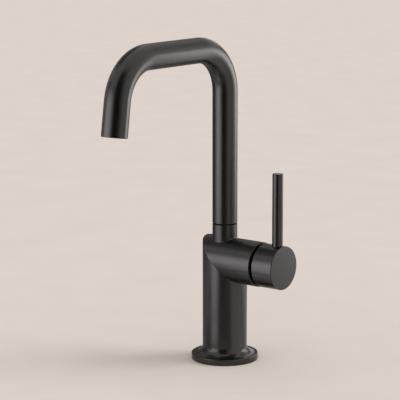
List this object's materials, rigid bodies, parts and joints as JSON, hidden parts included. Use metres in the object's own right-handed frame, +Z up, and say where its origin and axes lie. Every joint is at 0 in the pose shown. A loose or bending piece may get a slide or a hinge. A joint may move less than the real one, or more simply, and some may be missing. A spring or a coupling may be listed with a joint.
{
  "type": "bar faucet",
  "caption": "Single-lever bar faucet: mitred column with a side valve housing and an upright pin lever, and a swivelling square-bend spout with a recessed aerator.",
  "frame": {"origin": "centre of the foot's underside, on the deck, at the mouth of the hose well", "axes": "+Z up along the column, -Y the way the spout points at rest, +X along the valve axis towards the handle"},
  "size_m": [0.0977, 0.1942, 0.3002],
  "materials": {
    "matte_black": "matte black coating with a soft satin sheen, over brass",
    "brass": "turned, bare",
    "steel": "plain stainless",
    "rubber": "moulded, matte",
    "ceramic": "lapped ceramic",
    "cartridge_plastic": "moulded acetal",
    "black_plastic": "moulded acetal, black",
    "aerator_plastic": "moulded acetal, grey"
  },
  "bodies": {
    "body": {"body_casting": "matte_black", "base_ring": "matte_black", "base_gasket": "rubber", "base_o_ring": "rubber", "cartridge_base": "cartridge_plastic", "seat_seals": "rubber", "disc_seals": "rubber", "fixed_disc": "ceramic", "cartridge_shell": "cartridge_plastic", "cartridge_nut": "brass", "trim_dome": "matte_black", "glide_ring": "black_plastic", "lower_bearing": "black_plastic", "spout_set_screw": "steel"},
    "spout": {"spout_tube": "matte_black", "spout_nipple": "brass", "nipple_o_rings": "rubber", "outlet_bush": "brass", "aerator_housing": "black_plastic", "aerator_core": "aerator_plastic", "aerator_strainer": "aerator_plastic", "aerator_washer": "rubber"},
    "mixing_rotor": {"spindle_carrier": "cartridge_plastic", "spindle_pin": "steel"},
    "handle": {"spindle": "brass", "handle_hub": "matte_black", "lever_rod": "matte_black", "hub_set_screw": "steel", "hub_plug": "black_plastic"},
    "valve_slide": {"disc_carrier": "cartridge_plastic", "moving_disc": "ceramic"}
  },
  "joints": [
    {"name": "spout_swivel", "type": "hinge", "parent": "body", "child": "spout", "pos_m": [0, 0, 0.127], "axis": [0, 0, 1], "continuous": true},
    {"name": "temperature_turn", "type": "hinge", "parent": "body", "child": "mixing_rotor", "pos_m": [0.0297, 0, 0.094], "axis": [1, 0, 0], "range_deg": [-45, 45]},
    {"name": "flow_tilt", "type": "hinge", "parent": "mixing_rotor", "child": "handle", "pos_m": [0.0297, 0, 0.094], "axis": [0, 1, 0], "range_deg": [0, 20]},
    {"name": "disc_travel", "type": "slide", "parent": "mixing_rotor", "child": "valve_slide", "axis": [0, 0, 1], "range_m": [0, 0.00394]}
  ],
  "couplings": [
    {"joint": "disc_travel", "follows": "flow_tilt", "m_per_rad": 0.011268}
  ]
}
